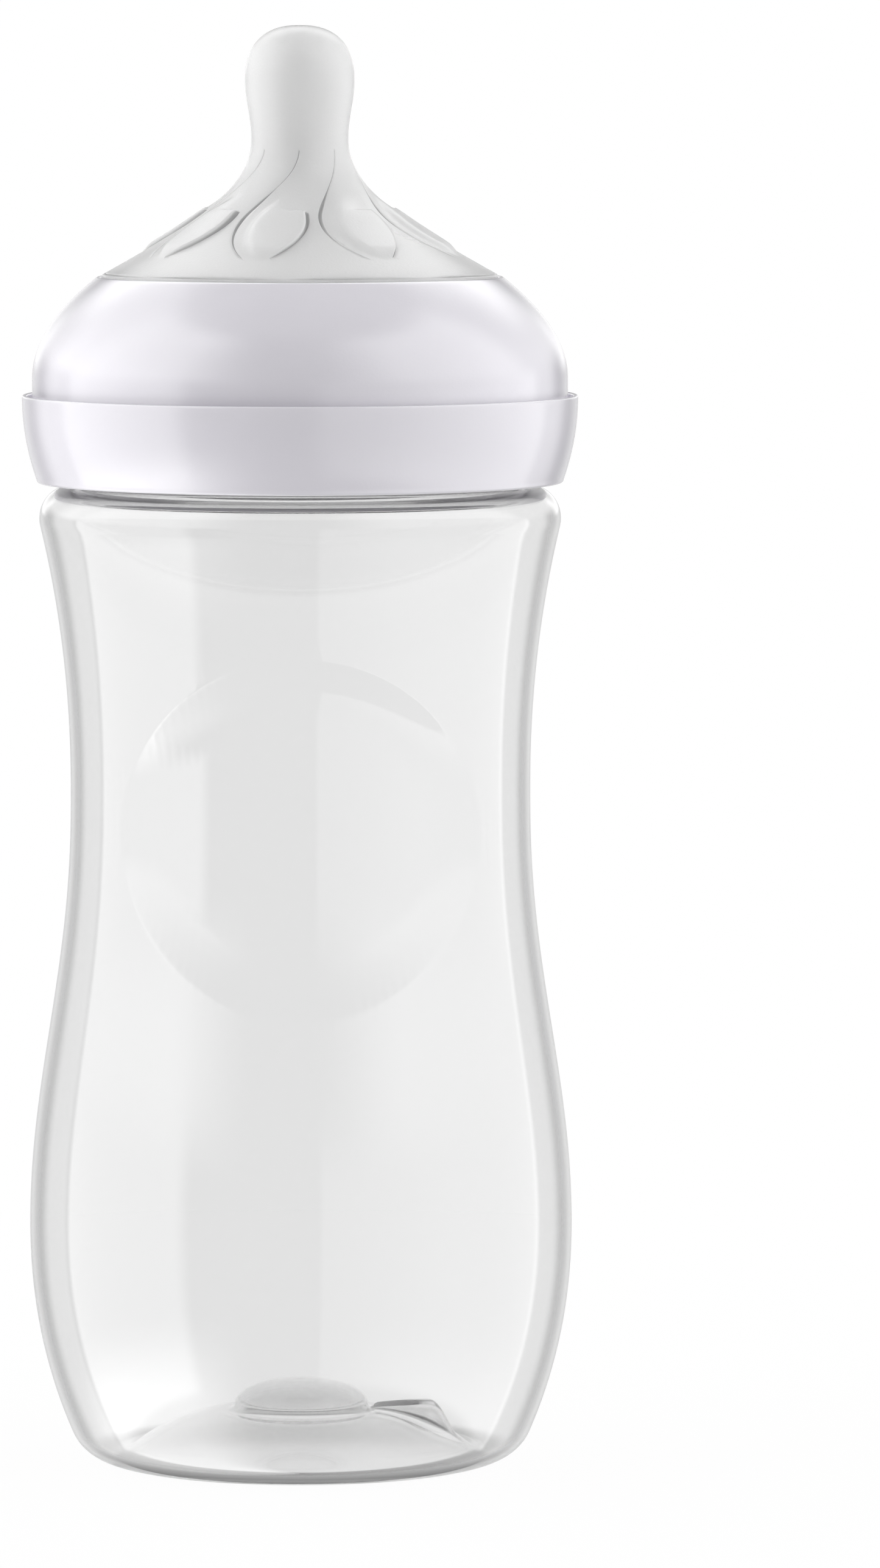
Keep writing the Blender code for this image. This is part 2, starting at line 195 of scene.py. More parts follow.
class Socket:
    """An output of a node tree. Arithmetic on it adds Math nodes."""

    def __init__(self, tree, output=None):
        self.tree = tree
        self.output = output

    def node(self, kind, settings, inputs, output=None):
        """Add any node, set it up, feed its sockets, and give the output that is asked for."""
        made = self.tree.nodes.new(kind)
        for name, value in settings.items():
            setattr(made, name, value)
        for name, value in inputs.items():
            entries = [entry for entry in made.inputs if entry.enabled]
            entry = next(entry for entry in entries if name in (entry.identifier, entry.name))
            if isinstance(value, Socket):
                self.tree.links.new(value.output, entry)
            else:
                entry.default_value = value
        outputs = [entry for entry in made.outputs if entry.enabled and output in (None, entry.name)]
        return Socket(self.tree, outputs[0] if outputs else None)

    def math(self, operation, *values):
        names = ("Value", "Value_001")
        return self.node("ShaderNodeMath", {"operation": operation}, dict(zip(names, values)))

    def eased(self, low, high):
        """0 below one value, 1 above the other, and a smooth change between them."""
        settings = {"interpolation_type": "SMOOTHSTEP"}
        return self.node("ShaderNodeMapRange", settings, {"Value": self, "From Min": low, "From Max": high})

    def __add__(self, other):
        return self.math("ADD", self, other)

    def __sub__(self, other):
        return self.math("SUBTRACT", self, other)

    def __rsub__(self, other):
        return self.math("SUBTRACT", other, self)

    def __mul__(self, other):
        return self.math("MULTIPLY", self, other)

    __radd__ = __add__
    __rmul__ = __mul__


def blank_material(name):
    """A material without nodes, and a socket to add the first ones from."""
    material = bpy.data.materials.new(name)
    material.use_nodes = True
    material.node_tree.nodes.clear()
    return material, Socket(material.node_tree)


def floor_height(radius):
    """Height of the pushed-up floor's upper face beside its button."""
    share = (radius - BUTTON_RADIUS) / (FLOOR_RADIUS - BUTTON_RADIUS)
    return FLOOR_TOP - (FLOOR_TOP - BODY_WALL) * share * share


def body_radius(height):
    """Outer radius of the body between the belly and the shoulder's corner."""
    if height <= WAIST_HEIGHT:
        share = (height - BELLY_HEIGHT) / (WAIST_HEIGHT - BELLY_HEIGHT)
        fall = (0.5 + 0.5 * math.cos(math.pi * share)) ** WAIST_EASE
        return WAIST_RADIUS + (BELLY_RADIUS - WAIST_RADIUS) * fall
    share = (height - WAIST_HEIGHT) / SHOULDER_REACH
    return WAIST_RADIUS + (SHOULDER_RADIUS - WAIST_RADIUS) * share**SHOULDER_EASE


def floor_line():
    """Upper face of the floor, from the axis over the button and out to the standing ring."""
    button_steps = 24
    floor_steps = 20
    fillet_steps = 10
    power = 2.0 / BUTTON_ROUNDNESS
    button = []
    for step in range(button_steps):
        angle = math.pi / 2 * step / button_steps
        height = FLOOR_TOP + BUTTON_RISE * math.cos(angle) ** power
        if height > FLOOR_TOP + BUTTON_FILLET:
            button.append((BUTTON_RADIUS * math.sin(angle) ** power, height))
    floor = []
    start = BUTTON_RADIUS + BUTTON_FILLET
    for step in range(1, floor_steps + 1):
        radius = start + (FLOOR_RADIUS - start) * step / floor_steps
        floor.append((radius, floor_height(radius)))
    corner = (BUTTON_RADIUS, FLOOR_TOP)
    return button + fillet(button[-1], corner, floor[0], BUTTON_FILLET, fillet_steps) + floor


def side_line():
    """Outer wall from the heel's foot up to the shoulder's ledge, in one smooth run."""
    heel_steps = 12
    lower_steps = 18
    body_steps = 66
    corner_steps = 14
    heel_end = HEEL_SWEEP - math.pi / 2
    points = arc((FOOT_RADIUS, HEEL_RADIUS), HEEL_RADIUS, -math.pi / 2, heel_end, heel_steps)
    toe = points[-1]
    crossing = toe[1] + (BELLY_RADIUS - toe[0]) * math.cos(heel_end) / -math.sin(heel_end)
    lower = [toe, (BELLY_RADIUS, crossing), (BELLY_RADIUS, BELLY_HEIGHT)]
    points += [bezier(lower, step / lower_steps) for step in range(1, lower_steps + 1)]
    body_top = WAIST_HEIGHT + SHOULDER_REACH
    for step in range(1, body_steps + 1):
        height = BELLY_HEIGHT + (body_top - BELLY_HEIGHT) * step / body_steps
        points.append((body_radius(height), height))
    corner = arc((CORNER_RADIUS, CORNER_HEIGHT), SHOULDER_CORNER, -SHOULDER_LEAN, math.pi / 2, corner_steps)
    return points + corner[1:]


def neck_line():
    """Neck from the ledge up, over its rim and down the bore."""
    outside_steps = 52
    bore_steps = 6
    bore = NECK_RADIUS - NECK_WALL
    root = (NECK_RADIUS, LEDGE_HEIGHT)
    outer_rim = (NECK_RADIUS, RIM_HEIGHT)
    inner_rim = (bore, RIM_HEIGHT)
    bore_end = (bore, LEDGE_HEIGHT - BODY_WALL)
    points = fillet((CORNER_RADIUS, LEDGE_HEIGHT), root, outer_rim, NECK_FILLET)
    points += between(root, outer_rim, outside_steps)[1:-1]
    points += fillet(root, outer_rim, inner_rim, RIM_ROUND)
    points += fillet(outer_rim, inner_rim, bore_end, RIM_ROUND)
    return points + between(inner_rim, bore_end, bore_steps) + [bore_end]


def refine(bm, faces):
    """Divide some faces more finely, so that a small form can be shaped in them."""
    edges = list({edge for face in faces for edge in face.edges})
    bmesh.ops.subdivide_edges(bm, edges=edges, cuts=REFINE_CUTS, use_grid_fill=True)
    bm.normal_update()


def soft_clip(value, roundness):
    """The value where it is positive and 0 elsewhere, with a rounded corner."""
    return (math.sqrt(value * value + roundness * roundness) + value) / 2


def recess_reach(place):
    """Distance from the recess's middle as seen from the front, or a long way on the back."""
    if place.y > 0.0:
        return BELLY_RADIUS
    return math.hypot(place.x, place.z - RECESS_MIDDLE)


def press_recess(bm):
    """Press the round grip recess into both faces of the front wall, with a crease round its rim."""
    for outer_band, inner_band in ((RECESS_MARGIN, RECESS_RAMP), (CREASE_OUTSIDE, CREASE_INSIDE)):
        low = RECESS_RADIUS - inner_band
        high = RECESS_RADIUS + outer_band
        front = [face for face in bm.faces if low < recess_reach(face.calc_center_median()) < high]
        refine(bm, front)
    for vert in bm.verts:
        share = (RECESS_RADIUS - recess_reach(vert.co)) / RECESS_RAMP
        to_floor = 1.0 - min(soft_clip(share, RIM_CREASE), 1.0)
        press = RECESS_DEPTH * (1.0 - to_floor * to_floor)
        scale = 1.0 - press / math.hypot(vert.co.x, vert.co.y, WELD)
        vert.co.x *= scale
        vert.co.y *= scale


def height_at(points, radius):
    """Height of a line where it passes a radius."""
    for low, high in zip(points, points[1:]):
        if min(low[0], high[0]) <= radius <= max(low[0], high[0]):
            share = (radius - low[0]) / (high[0] - low[0])
            return low[1] + (high[1] - low[1]) * share
    return points[-1][1]


def mark_faces(bm, floor):
    """Mark what faces outwards, which is glossy, and the floor's underside, which is satin."""
    skin_layer = bm.verts.layers.float.new("skin")
    satin_layer = bm.verts.layers.float.new("satin")
    for vert in bm.verts:
        radius = math.hypot(vert.co.x, vert.co.y)
        outward = vert.normal.x * vert.co.x + vert.normal.y * vert.co.y
        under = radius < FLOOR_RADIUS - WELD and vert.co.z < height_at(floor, radius) - BODY_WALL / 2
        vert[skin_layer] = float(outward > 0.0)
        vert[satin_layer] = float(under)


def lug_share(place):
    """How far the lug, a drop that widens away from the button, stands up at a place: 0 to 1."""
    reach = LUG_LENGTH - LUG_WIDTH / 2
    along = place.x - BUTTON_RADIUS
    share = min(max(along / reach, 0.0), 1.0)
    half_width = (LUG_ROOT_WIDTH + (LUG_WIDTH - LUG_ROOT_WIDTH) * share) / 2
    return ease((half_width - math.hypot(along - reach * share, place.y)) / LUG_BLEND)


def raise_lug(bm):
    """Raise the satin index lug in the floor, at one side of the button."""
    lug_end = BUTTON_RADIUS + LUG_LENGTH
    footprint = []
    for face in bm.faces:
        centre = face.calc_center_median()
        if BUTTON_RADIUS < centre.x < lug_end and abs(centre.y) < LUG_WIDTH / 2 and centre.z < LUG_TOP:
            footprint.append(face)
    refine(bm, footprint)
    satin_layer = bm.verts.layers.float["satin"]
    for vert in bm.verts:
        radius = math.hypot(vert.co.x, vert.co.y)
        if vert.co.x > 0.0 and BUTTON_RADIUS < radius < FLOOR_RADIUS and vert.co.z < LUG_TOP:
            fade = ease((radius - BUTTON_RADIUS) / LUG_FADE)
            share = lug_share(vert.co) * fade
            vert.co.z += (LUG_TOP - floor_height(radius)) * share
            vert[satin_layer] = max(vert[satin_layer], share)


def thread_share(angle, height, start, lead, turns):
    """How far a thread stands out at a place on its wall: 0 on the wall and 1 on the crest."""
    share = 0.0
    turn = (angle / math.tau - lead) % 1.0
    while turn <= turns:
        off_centre = abs(height - start - THREAD_PITCH * turn)
        flank = (THREAD_ROOT / 2 - off_centre) / ((THREAD_ROOT - THREAD_CREST) / 2)
        share = max(share, ease(flank) * ease(min(turn, turns - turn) / THREAD_FADE))
        turn += 1.0
    return share


def raise_thread(bm, wall_radius, outward, start, lead, turns):
    """Raise a right-hand thread out of a round wall."""
    for vert in bm.verts:
        radius = math.hypot(vert.co.x, vert.co.y)
        if abs(radius - wall_radius) > WELD:
            continue
        angle = math.atan2(vert.co.y, vert.co.x)
        share = thread_share(angle, vert.co.z, start, lead, turns)
        scale = 1.0 + outward * THREAD_DEPTH * share / radius
        vert.co.x *= scale
        vert.co.y *= scale


def clear_plastic():
    """Clear plastic with the waviness and haze of a blown shell, satin under its floor and on its lug."""
    least_roughness = 0.01
    haze_roughness = 0.02
    satin_roughness = 0.20
    material, start = blank_material("clear_plastic")
    place = start.node("ShaderNodeTexCoord", {}, {}, "Object")
    waves = place.node("ShaderNodeTexNoise", {}, {"Vector": place, "Scale": 45.0, "Detail": 1.0})
    haze = place.node("ShaderNodeTexNoise", {}, {"Vector": place, "Scale": 700.0, "Detail": 3.0})
    skin = place.node("ShaderNodeAttribute", {"attribute_name": "skin"}, {}, "Fac")
    satin = place.node("ShaderNodeAttribute", {"attribute_name": "satin"}, {}, "Fac")
    bump = place.node("ShaderNodeBump", {}, {"Strength": 0.015, "Distance": 0.002, "Height": waves})
    shader = place.node(
        "ShaderNodeBsdfPrincipled",
        {},
        {
            "Base Color": (0.90, 0.90, 0.90, 1.0),
            "Roughness": least_roughness + haze_roughness * haze + satin_roughness * satin,
            "IOR": 1.35,
            "Transmission Weight": 1.0,
            "Coat Weight": skin,
            "Normal": bump,
        },
    )
    place.node("ShaderNodeOutputMaterial", {}, {"Surface": shader})
    return material


floor = floor_line()
side = side_line()
underside = [(0.0, floor[0][1] - BODY_WALL)] + offset(floor, BODY_WALL)[1:-1] + [(FLOOR_RADIUS, 0.0)]
inside = offset(side[::-1], BODY_WALL) + floor[::-1]
bottle_mesh = turned(underside + side + neck_line() + inside, False, BOTTLE_SEGMENTS)
mark_faces(bottle_mesh, floor)
press_recess(bottle_mesh)
raise_lug(bottle_mesh)
raise_thread(bottle_mesh, NECK_RADIUS, 1.0, NECK_THREAD_START, 0.0, NECK_THREAD_TURNS)
finished_piece("clear_bottle", bottle_mesh, clear_plastic(), "bottle")

# Screw ring
# The ring is injection moulded in glossy white plastic. A threaded sleeve screws on the neck, a domed
# skirt hides the sleeve, a collar stands round the skirt's foot, and an inner lip clamps the teat.
ring_low, ring_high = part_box("screw_ring")
COLLAR_RADIUS = ring_high.x
COLLAR_BOTTOM = ring_low.z
DOME_TOP = ring_high.z
COLLAR_HEIGHT = 0.0110
COLLAR_TAPER = 0.0018
COLLAR_EASE = 2.05
COLLAR_CORNER = 0.0004
COLLAR_LIP = 0.0006
LIP_ROUND = 0.00025
TROUGH_WIDTH = 0.0007
TROUGH_DEPTH = 0.0020
DOME_MOUTH = 0.0252
DOME_SLOPE = 0.78
DOME_FOOT = 0.0022
DOME_WALL = 0.0018
MOUTH_ROUND = 0.0003
SKIRT_INSIDE = 0.0316
SLEEVE_OUTSIDE = 0.0302
SLEEVE_RADIUS = 0.0283
SLEEVE_ABOVE_LEDGE = 0.0024
LIP_RADIUS = 0.0235
LIP_ABOVE_RIM = 0.0021
LIP_THICKNESS = 0.0018
CLEARANCE = 0.0003
RING_THREAD_TURNS = 1.0
RING_THREAD_LEAD = 0.25
RING_THREAD_BELOW_RIM = 0.0139
RING_SEGMENTS = 192

SLEEVE_BOTTOM = LEDGE_HEIGHT + SLEEVE_ABOVE_LEDGE
LIP_UNDERSIDE = RIM_HEIGHT + LIP_ABOVE_RIM
LIP_TOP = LIP_UNDERSIDE + LIP_THICKNESS
RING_THREAD_START = RIM_HEIGHT - RING_THREAD_BELOW_RIM


def ring_line():
    """Closed outline of the ring: dome, trough, collar, and back up along the sleeve."""
    dome_steps = 56
    collar_steps = 24
    corner_steps = 6
    sleeve_steps = 52
    mouth_step = 3
    collar_top = COLLAR_BOTTOM + COLLAR_HEIGHT
    dome_radius = COLLAR_RADIUS - COLLAR_LIP - TROUGH_WIDTH
    lip_inside = dome_radius + TROUGH_WIDTH
    mouth = (DOME_MOUTH, DOME_TOP)
    crossing = (dome_radius, DOME_TOP - DOME_SLOPE * (dome_radius - DOME_MOUTH))
    controls = [mouth, crossing, (dome_radius, collar_top + DOME_FOOT)]
    dome = [bezier(controls, step / dome_steps) for step in range(dome_steps + 1)]
    vault = offset(dome, DOME_WALL)
    foot = (dome_radius, collar_top - TROUGH_DEPTH)
    gutter = (lip_inside, collar_top - TROUGH_DEPTH)
    crest = (lip_inside, collar_top)
    edge = (COLLAR_RADIUS, collar_top)
    collar = []
    for step in range(1, collar_steps):
        share = step / collar_steps
        drop = (COLLAR_HEIGHT - COLLAR_CORNER) * share
        collar.append((COLLAR_RADIUS - COLLAR_TAPER * share**COLLAR_EASE, collar_top - drop))
    corner_centre = (COLLAR_RADIUS - COLLAR_TAPER - COLLAR_CORNER, COLLAR_BOTTOM + COLLAR_CORNER)
    points = fillet((DOME_MOUTH, LIP_TOP), mouth, dome[mouth_step], MOUTH_ROUND)
    points += dome[mouth_step:]
    points += fillet(dome[-1], foot, gutter, LIP_ROUND)
    points += fillet(foot, gutter, crest, LIP_ROUND)
    points += fillet(gutter, crest, edge, LIP_ROUND)
    points += fillet(crest, edge, collar[0], LIP_ROUND)
    points += collar
    points += arc(corner_centre, COLLAR_CORNER, 0.0, -math.pi / 2, corner_steps)
    sleeve_foot = (SLEEVE_RADIUS, SLEEVE_BOTTOM)
    sleeve_head = (SLEEVE_RADIUS, height_at(vault, SLEEVE_RADIUS))
    points += [(SKIRT_INSIDE, COLLAR_BOTTOM), (SKIRT_INSIDE, height_at(vault, SKIRT_INSIDE))]
    points += [(SLEEVE_OUTSIDE, height_at(vault, SLEEVE_OUTSIDE)), (SLEEVE_OUTSIDE, SLEEVE_BOTTOM)]
    points += [sleeve_foot] + between(sleeve_foot, sleeve_head, sleeve_steps) + [sleeve_head]
    points += [(NECK_RADIUS + CLEARANCE, LIP_UNDERSIDE), (LIP_RADIUS, LIP_UNDERSIDE)]
    return points + [(LIP_RADIUS, LIP_TOP), (DOME_MOUTH, LIP_TOP)]


def white_plastic():
    """Glossy white plastic with the fine grain and faint flow marks of a moulding."""
    least_roughness = 0.15
    flow_roughness = 0.08
    material, start = blank_material("white_plastic")
    place = start.node("ShaderNodeTexCoord", {}, {}, "Object")
    flow = place.node("ShaderNodeTexNoise", {}, {"Vector": place, "Scale": 90.0, "Detail": 4.0})
    grain = place.node("ShaderNodeTexNoise", {}, {"Vector": place, "Scale": 2600.0, "Detail": 2.0})
    colour = place.node(
        "ShaderNodeMix",
        {"data_type": "RGBA"},
        {"Factor": flow, "A": (0.745, 0.728, 0.779, 1.0), "B": (0.785, 0.768, 0.819, 1.0)},
    )
    bump = place.node("ShaderNodeBump", {}, {"Strength": 0.06, "Distance": 0.0002, "Height": grain})
    shader = place.node(
        "ShaderNodeBsdfPrincipled",
        {},
        {
            "Base Color": colour,
            "Roughness": least_roughness + flow_roughness * flow,
            "IOR": 1.5,
            "Coat Weight": 1.0,
            "Coat Roughness": 0.18,
            "Subsurface Weight": 0.3,
            "Subsurface Radius": (1.0, 1.0, 1.0),
            "Subsurface Scale": 0.0012,
            "Normal": bump,
        },
    )
    place.node("ShaderNodeOutputMaterial", {}, {"Surface": shader})
    return material


ring_mesh = turned(ring_line(), True, RING_SEGMENTS)
raise_thread(ring_mesh, SLEEVE_RADIUS, -1.0, RING_THREAD_START, RING_THREAD_LEAD, RING_THREAD_TURNS)
finished_piece("white_screw_ring", ring_mesh, white_plastic(), "screw_ring")

# Teat
# The teat is moulded in soft, translucent silicone with a satin skin. Its flange seals on the bottle's
# rim, a groove holds the ring's lip, and eight leaning petals between cut lines run round its trumpet.
teat_low, teat_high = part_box("teat")
FLANGE_BOTTOM = teat_low.z
TIP_TOP = teat_high.z
FLANGE_RADIUS = teat_high.x
FLANGE_THICKNESS = 0.0015
GROOVE_RADIUS = LIP_RADIUS - CLEARANCE
BRIM_RADIUS = DOME_MOUTH - CLEARANCE
BRIM_TOP = DOME_TOP
BRIM_EDGE = 0.0011
BRIM_ROUND = 0.0003
BRIM_SLOPE = 0.5556
TRUMPET_HEIGHT = 0.0172
TRUMPET_BRIM_PULL = 0.0139
TRUMPET_STEM_PULL = 0.0058
STEM_RADIUS = 0.0061
BULB_RADIUS = 0.00688
TIP_HEIGHT = 0.0069
TIP_ROUNDNESS = 2.4
TIP_HOLE_RADIUS = 0.0005
TEAT_WALL = 0.0018
PETAL_COUNT = 8
PETAL_TURN = math.radians(-1.4)
PETAL_HALF_WIDTH = math.radians(18.95)
PETAL_NARROWING = math.radians(230.0)
PETAL_LEAST_WIDTH = math.radians(5.0)
PETAL_WIDEST = 0.635
LINE_SWEEP = math.radians(33.4)
LINE_START = 0.08
LINE_END = 0.885
HOOK_START = 0.568
HOOK_TUCK = math.radians(3.6)
HOOK_TUCK_SHARE = 0.25
HOOK_END = 0.012
LINE_TAPER = 0.015
LONG_SWELL_START = 0.36
LONG_SWELL_RISE = 0.20
LONG_SWELL_END = 0.89
LONG_SWELL_FALL = 0.27
SHORT_SWELL_END = 0.80
SHORT_SWELL_FALL = 0.20
LINE_WIDTH = 0.00016
LINE_DEPTH = 0.00022
CUT_WIDTH = 0.00045
CUT_DEPTH = 0.00045
CUT_SHARES = (0.0, 0.14, 0.45, 0.78, 1.0)
CUT_SHAPE = (0.0, 1.0, 0.75, 0.3, 0.0)
PETAL_STEPS = 23
VALLEY_STEPS = 17
PILLOW_RISE = 0.00050
PILLOW_LANE = 0.0011
PILLOW_EDGE = 0.0014
PILLOW_TOP = 0.42
PILLOW_BOTTOM = 0.895
PILLOW_FALL = 0.07
SLOPE_STEP = 0.001
BRIM_SHARE = 0.99

STEM_HEIGHT = BRIM_TOP + TRUMPET_HEIGHT
BULB_HEIGHT = TIP_TOP - TIP_HEIGHT
TRUMPET = [
    (STEM_RADIUS, STEM_HEIGHT),
    (STEM_RADIUS, STEM_HEIGHT - TRUMPET_STEM_PULL),
    (BRIM_RADIUS - TRUMPET_BRIM_PULL, BRIM_TOP + TRUMPET_BRIM_PULL * BRIM_SLOPE),
    (BRIM_RADIUS, BRIM_TOP),
]
CUT_STEPS = len(CUT_SHARES) - 1
PETAL_COLUMNS = CUT_STEPS + PETAL_STEPS + CUT_STEPS + VALLEY_STEPS
TEAT_SEGMENTS = PETAL_COUNT * PETAL_COLUMNS


def nipple_line(tip_steps, bulb_steps):
    """Outside of the teat from its hole over the tip and the bulb down to the stem."""
    power = 2.0 / TIP_ROUNDNESS
    hole_angle = math.asin((TIP_HOLE_RADIUS / BULB_RADIUS) ** (1.0 / power))
    points = []
    for step in range(tip_steps + 1):
        angle = hole_angle + (math.pi / 2 - hole_angle) * step / tip_steps
        rise = max(math.cos(angle), 0.0) ** power
        points.append((BULB_RADIUS * math.sin(angle) ** power, BULB_HEIGHT + TIP_HEIGHT * rise))
    for step in range(1, bulb_steps):
        share = step / bulb_steps
        swell = 0.5 + 0.5 * math.cos(math.pi * share)
        height = BULB_HEIGHT + (STEM_HEIGHT - BULB_HEIGHT) * share
        points.append((STEM_RADIUS + (BULB_RADIUS - STEM_RADIUS) * swell, height))
    return points


def seat_line():
    """Brim, groove and flange, from the brim's top edge to the foot of the bore."""
    underside = BRIM_TOP - BRIM_EDGE
    flange_top = FLANGE_BOTTOM + FLANGE_THICKNESS
    corners = [
        bezier(TRUMPET, BRIM_SHARE),
        (BRIM_RADIUS, BRIM_TOP),
        (BRIM_RADIUS, underside),
        (GROOVE_RADIUS, underside),
        (GROOVE_RADIUS, flange_top),
        (FLANGE_RADIUS, flange_top),
        (FLANGE_RADIUS, FLANGE_BOTTOM),
        (GROOVE_RADIUS - TEAT_WALL, FLANGE_BOTTOM),
    ]
    points = []
    for before, corner, after in zip(corners, corners[1:], corners[2:]):
        points += fillet(before, corner, after, BRIM_ROUND)
    return points + [corners[-1]]


def long_line(share):
    """Angle of a petal's long line at a share of the trumpet's length."""
    sweep = -LINE_SWEEP * ease((share - LINE_START) / (PETAL_WIDEST - LINE_START))
    return sweep + PETAL_NARROWING * max(share - PETAL_WIDEST, 0.0) ** 2


def petal_width(share):
    """Angle from a petal's long line to its short line."""
    half = PETAL_HALF_WIDTH - PETAL_NARROWING * max(share - PETAL_WIDEST, 0.0) ** 2
    tuck = HOOK_TUCK * ease((PETAL_WIDEST - share) / (HOOK_START * HOOK_TUCK_SHARE))
    return 2 * max(half, PETAL_LEAST_WIDTH) - tuck


def cut_size(swell, ends):
    """Width and depth of a line, from how far it swells and from its tapered ends."""
    return LINE_WIDTH + CUT_WIDTH * swell, (LINE_DEPTH + (CUT_DEPTH - LINE_DEPTH) * swell) * ends


def long_cut(share):
    """Width and depth of the long line, which is thin at both ends."""
    rise = ease((share - LONG_SWELL_START) / LONG_SWELL_RISE)
    fall = ease((LONG_SWELL_END - share) / LONG_SWELL_FALL)
    ends = ease((share - LINE_START) / LINE_TAPER) * ease((LINE_END - share) / LINE_TAPER)
    return cut_size(rise * fall, ends)


def short_cut(share):
    """Width and depth of the short line, which starts blunt and tapers to its end."""
    swell = ease((SHORT_SWELL_END - share) / SHORT_SWELL_FALL)
    ends = ease((share - HOOK_START) / HOOK_END) * ease((LINE_END - share) / LINE_TAPER)
    return cut_size(swell, ends)


def pillow(share, radius, from_long, to_short):
    """Height of a petal's soft swelling at angles from its long line and to its short line."""
    lane = ease((radius * from_long - PILLOW_LANE) / PILLOW_EDGE)
    hooked = ease((share - HOOK_START) / HOOK_END)
    right = hooked + (1.0 - hooked) * ease(to_short / PETAL_HALF_WIDTH)
    rise = ease((share - PILLOW_TOP) / (PETAL_WIDEST - PILLOW_TOP))
    fall = ease((PILLOW_BOTTOM - share) / PILLOW_FALL)
    return PILLOW_RISE * lane * right * rise * fall


def shape_petals(bm, share_layer, cut_layer):
    """Turn the columns of the trumpet along the petals' lines, cut the lines and raise the petals."""
    for vert in bm.verts:
        share = vert[share_layer]
        if share < 0.0:
            continue
        radius = math.hypot(vert.co.x, vert.co.y)
        column = round(math.atan2(vert.co.x, -vert.co.y) / math.tau * TEAT_SEGMENTS) % TEAT_SEGMENTS
        petal, column = divmod(column, PETAL_COLUMNS)
        sector = math.tau / PETAL_COUNT
        start = long_line(share)
        width = petal_width(share)
        long_width, long_depth = long_cut(share)
        short_width, short_depth = short_cut(share)
        long_turn = long_width / radius
        short_turn = short_width / radius
        height = 0.0
        depth = 0.0
        if column <= CUT_STEPS:
            turn = long_turn * CUT_SHARES[column]
            depth = long_depth * CUT_SHAPE[column]
        elif column <= CUT_STEPS + PETAL_STEPS:
            turn = long_turn + (width - long_turn) * (column - CUT_STEPS) / PETAL_STEPS
            height = pillow(share, radius, turn - long_turn, width - turn)
        elif column <= CUT_STEPS + PETAL_STEPS + CUT_STEPS:
            step = column - CUT_STEPS - PETAL_STEPS
            turn = width + short_turn * CUT_SHARES[step]
            depth = short_depth * CUT_SHAPE[step]
        else:
            step = column - CUT_STEPS - PETAL_STEPS - CUT_STEPS
            turn = width + short_turn + (sector - width - short_turn) * step / VALLEY_STEPS
        angle = PETAL_TURN + petal * sector + start + turn
        ahead = bezier(TRUMPET, min(share + SLOPE_STEP, 1.0))
        behind = bezier(TRUMPET, max(share - SLOPE_STEP, 0.0))
        run = (ahead[0] - behind[0], ahead[1] - behind[1])
        lift = (height - depth) / math.hypot(*run)
        radius -= lift * run[1]
        vert.co.z += lift * run[0]
        vert.co.x = radius * math.sin(angle)
        vert.co.y = -radius * math.cos(angle)
        # The cut's depth is kept for the painted shade in the silicone's colour.
        vert[cut_layer] = depth / CUT_DEPTH


def teat_body():
    """Turn the teat, then shape its petals."""
    trumpet_steps = 116
    lining_steps = 26
    nipple = nipple_line(tip_steps=26, bulb_steps=18)
    outside = [bezier(TRUMPET, step / trumpet_steps) for step in range(trumpet_steps)]
    coarse = nipple_line(tip_steps=10, bulb_steps=8)
    coarse += [bezier(TRUMPET, step / lining_steps) for step in range(lining_steps + 1)]
    lining = offset(coarse, TEAT_WALL)
    lining[0] = (TIP_HOLE_RADIUS, lining[0][1])
    bore = GROOVE_RADIUS - TEAT_WALL
    inside = [point for point in lining if point[0] < bore - WELD]
    inside.append((bore, height_at(lining, bore)))
    bm = turned(nipple + outside + seat_line() + inside[::-1], True, TEAT_SEGMENTS)
    share_layer = bm.verts.layers.float.new("share")
    cut_layer = bm.verts.layers.float.new("cut")
    shares = {}
    for step, (radius, height) in enumerate(outside):
        shares[round(height / WELD)] = (radius, step / trumpet_steps)
    for vert in bm.verts:
        vert[share_layer] = -1.0
        radius, share = shares.get(round(vert.co.z / WELD), (0.0, -1.0))
        if abs(math.hypot(vert.co.x, vert.co.y) - radius) < 2 * WELD:
            vert[share_layer] = share
    shape_petals(bm, share_layer, cut_layer)
    return bm


def silicone():
    """Satin translucent silicone, with painted shade that darkens its colour down in the cut lines."""
    least_roughness = 0.20
    cloud_roughness = 0.10
    painted_shade_full_depth = 0.4
    cut_painted_shade = 0.85
    material, start = blank_material("silicone")
    place = start.node("ShaderNodeTexCoord", {}, {}, "Object")
    cut = place.node("ShaderNodeAttribute", {"attribute_name": "cut"}, {}, "Fac")
    cloud = place.node("ShaderNodeTexNoise", {}, {"Vector": place, "Scale": 140.0, "Detail": 3.0})
    grain = place.node("ShaderNodeTexNoise", {}, {"Vector": place, "Scale": 3200.0, "Detail": 2.0})
    body = place.node(
        "ShaderNodeMix",
        {"data_type": "RGBA"},
        {"Factor": cloud, "A": (0.94, 0.94, 0.94, 1.0), "B": (0.98, 0.98, 0.98, 1.0)},
    )
    # Painted shade: the base colour turns grey where a cut line is deep, standing in for the shade down in
    # the cut.
    colour = place.node(
        "ShaderNodeMix",
        {"data_type": "RGBA"},
        {"Factor": cut.eased(0.0, painted_shade_full_depth) * cut_painted_shade, "A": body, "B": (0.42, 0.42, 0.42, 1.0)},
    )
    bump = place.node("ShaderNodeBump", {}, {"Strength": 0.15, "Distance": 0.0002, "Height": grain})
    shader = place.node(
        "ShaderNodeBsdfPrincipled",
        {},
        {
            "Base Color": colour,
            "Roughness": least_roughness + cloud_roughness * cloud,
            "IOR": 1.42,
            "Transmission Weight": 0.22,
            "Subsurface Weight": 0.9,
            "Subsurface Radius": (1.0, 1.0, 1.0),
            "Subsurface Scale": 0.0060,
            "Normal": bump,
        },
    )
    place.node("ShaderNodeOutputMaterial", {}, {"Surface": shader})
    return material


